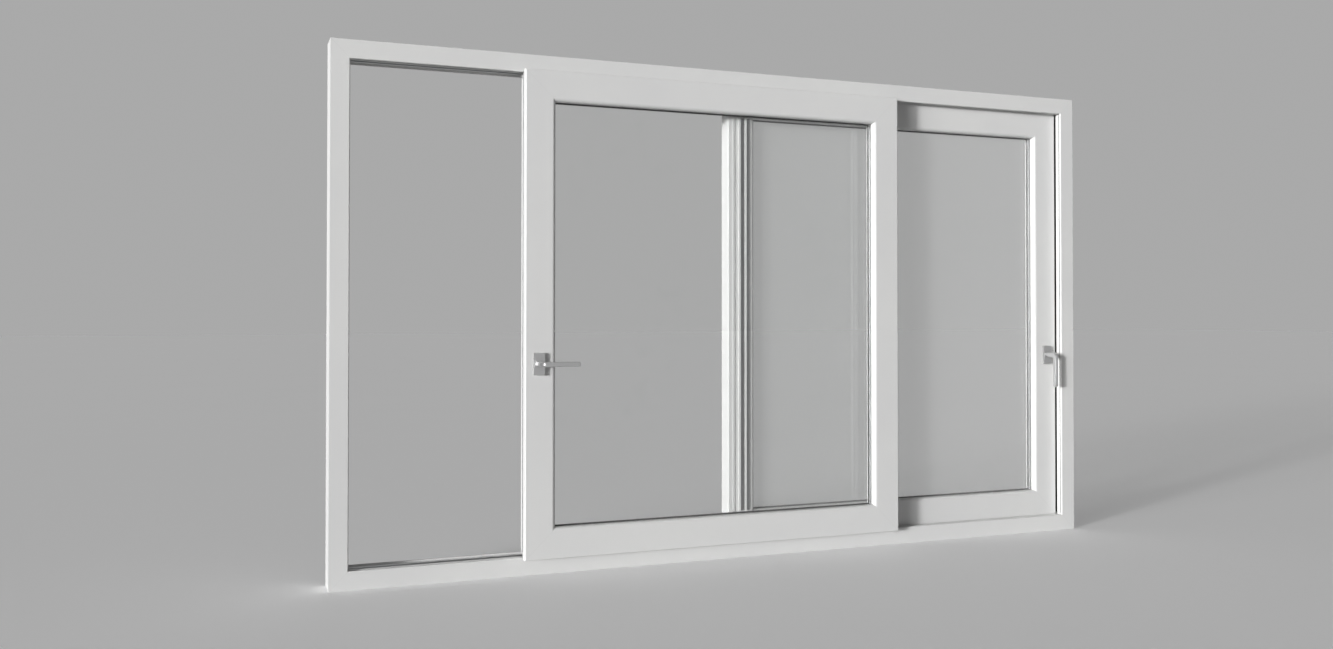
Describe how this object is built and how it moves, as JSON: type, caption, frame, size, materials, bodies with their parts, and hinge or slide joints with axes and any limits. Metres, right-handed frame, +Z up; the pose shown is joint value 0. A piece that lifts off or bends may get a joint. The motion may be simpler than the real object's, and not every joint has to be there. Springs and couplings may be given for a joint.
{
  "type": "horizontal sliding window",
  "caption": "White plastic sliding window: a flat frame with two tracks, glazed sashes that slide past each other on rollers, and a lever handle on each sash.",
  "frame": {"origin": "middle of the frame sill's underside, at mid width and mid depth of the frame", "axes": "+X to the right seen from the room, +Y from the room to the outside, +Z up"},
  "size_m": [2.5, 0.175, 1.5],
  "materials": {
    "white_plastic": "smooth white plastic profile with a soft sheen",
    "gasket_rubber": "matt dark grey seal",
    "clear_glass": "clear float glass",
    "mill_aluminium": "mill finish",
    "zinc_steel": "zinc plated",
    "grey_nylon": "moulded nylon",
    "satin_metal": "satin, fine brushed"
  },
  "bodies": {
    "frame": {"frame_head": "white_plastic", "frame_sill": "white_plastic", "frame_left_jamb": "white_plastic", "frame_right_jamb": "white_plastic", "front_running_rail": "mill_aluminium", "rear_running_rail": "mill_aluminium", "front_guide_rail": "mill_aluminium", "rear_guide_rail": "mill_aluminium", "front_travel_stop": "grey_nylon", "rear_travel_stop": "grey_nylon"},
    "front_sash": {"front_sash_left_stile": "white_plastic", "front_sash_right_stile": "white_plastic", "front_sash_top_rail": "white_plastic", "front_sash_bottom_rail": "white_plastic", "front_sash_left_bead": "white_plastic", "front_sash_right_bead": "white_plastic", "front_sash_top_bead": "white_plastic", "front_sash_bottom_bead": "white_plastic", "front_sash_glazing_gaskets": "gasket_rubber", "front_sash_glass_panes": "clear_glass", "front_sash_spacer": "mill_aluminium", "front_sash_roller_carriages": "zinc_steel", "front_sash_top_guides": "grey_nylon", "front_lock_strip": "zinc_steel", "front_handle_rosette": "satin_metal"},
    "rear_sash": {"rear_sash_left_stile": "white_plastic", "rear_sash_right_stile": "white_plastic", "rear_sash_top_rail": "white_plastic", "rear_sash_bottom_rail": "white_plastic", "rear_sash_left_bead": "white_plastic", "rear_sash_right_bead": "white_plastic", "rear_sash_top_bead": "white_plastic", "rear_sash_bottom_bead": "white_plastic", "rear_sash_glazing_gaskets": "gasket_rubber", "rear_sash_glass_panes": "clear_glass", "rear_sash_spacer": "mill_aluminium", "rear_sash_roller_carriages": "zinc_steel", "rear_sash_top_guides": "grey_nylon", "rear_lock_strip": "zinc_steel", "rear_handle_rosette": "satin_metal", "rear_interlock_strip": "zinc_steel"},
    "front_handle": {"front_handle_lever": "satin_metal"},
    "rear_handle": {"rear_handle_lever": "satin_metal"}
  },
  "joints": [
    {"name": "front_sash_slide", "type": "slide", "parent": "frame", "child": "front_sash", "axis": [1, 0, 0], "range_m": [-0.481, 0]},
    {"name": "rear_sash_slide", "type": "slide", "parent": "frame", "child": "rear_sash", "axis": [-1, 0, 0], "range_m": [0, 0.476]},
    {"name": "front_handle_turn", "type": "hinge", "parent": "front_sash", "child": "front_handle", "pos_m": [-0.6765, -0.08, 0.607], "axis": [0, -1, 0], "range_deg": [-90, 0]},
    {"name": "rear_handle_turn", "type": "hinge", "parent": "rear_sash", "child": "rear_handle", "pos_m": [1.1565, -0.02, 0.607], "axis": [0, 1, 0], "range_deg": [0, 90]}
  ]
}
